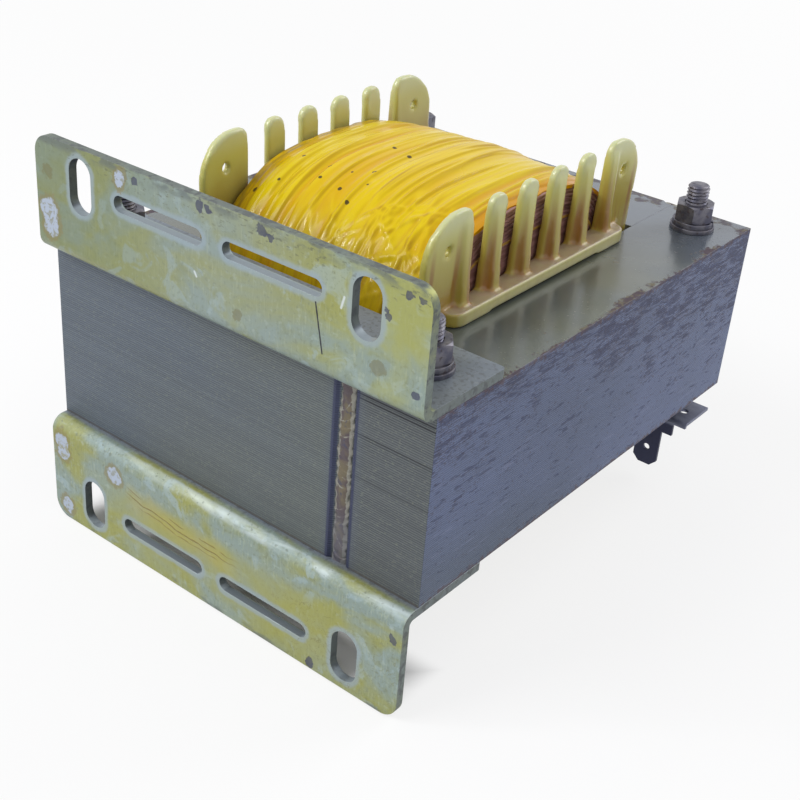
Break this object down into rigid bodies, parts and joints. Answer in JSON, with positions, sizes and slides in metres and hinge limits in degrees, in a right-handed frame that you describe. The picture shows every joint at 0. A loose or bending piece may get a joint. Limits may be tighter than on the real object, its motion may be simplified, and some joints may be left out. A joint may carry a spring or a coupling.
{
  "type": "ei core transformer",
  "caption": "Chassis transformer: welded laminated EI core, taped coil on a comb-edged moulded bobbin, slotted angle brackets, corner studs and a blade terminal.",
  "frame": {"origin": "centre of the mounting face, midway between the two brackets' uprights and between their ends", "axes": "+Y from the mounting face into the object, +X along the brackets towards the yoke with the terminal, +Z in the direction in which the sheets are stacked"},
  "size_m": [0.1007, 0.1244, 0.0914],
  "materials": {
    "core_steel": "varnished silicon steel sheets with fine edge lines, rust specks and varnish pools",
    "weld_metal": "lumpy weld bead under amber varnish",
    "bracket_zinc": "yellow passivated zinc on steel sheet, worn to pale grey in patches",
    "bobbin_nylon": "natural nylon moulding, slightly translucent, amber in its roots",
    "magnet_wire": "dark enamelled copper wire",
    "insulation_film": "thin insulation film",
    "outer_tape": "glossy yellow polyester tape with creases and wrinkles",
    "hardware_steel": "dull zinc plated steel",
    "terminal_tin": "tinned sheet metal"
  },
  "bodies": {
    "root": {"core_e_stack": "core_steel", "core_i_stack": "core_steel", "weld_bead_front": "weld_metal", "weld_bead_back": "weld_metal", "upper_bracket": "bracket_zinc", "lower_bracket": "bracket_zinc", "bobbin": "bobbin_nylon", "primary_winding": "magnet_wire", "secondary_winding": "magnet_wire", "interlayer_insulation": "insulation_film", "outer_tape": "outer_tape", "terminal": "terminal_tin", "terminal_nut": "hardware_steel", "stud_front_left": "hardware_steel", "upper_washer_front_left": "hardware_steel", "lock_washer_front_left": "hardware_steel", "upper_nut_front_left": "hardware_steel", "lower_washer_front_left": "hardware_steel", "lower_nut_front_left": "hardware_steel", "stud_front_right": "hardware_steel", "upper_washer_front_right": "hardware_steel", "lock_washer_front_right": "hardware_steel", "upper_nut_front_right": "hardware_steel", "lower_washer_front_right": "hardware_steel", "lower_nut_front_right": "hardware_steel", "stud_rear_left": "hardware_steel", "upper_washer_rear_left": "hardware_steel", "lock_washer_rear_left": "hardware_steel", "upper_nut_rear_left": "hardware_steel", "lower_washer_rear_left": "hardware_steel", "lower_nut_rear_left": "hardware_steel", "stud_rear_right": "hardware_steel", "upper_washer_rear_right": "hardware_steel", "lock_washer_rear_right": "hardware_steel", "upper_nut_rear_right": "hardware_steel", "lower_washer_rear_right": "hardware_steel", "lower_nut_rear_right": "hardware_steel"}
  },
  "joints": []
}
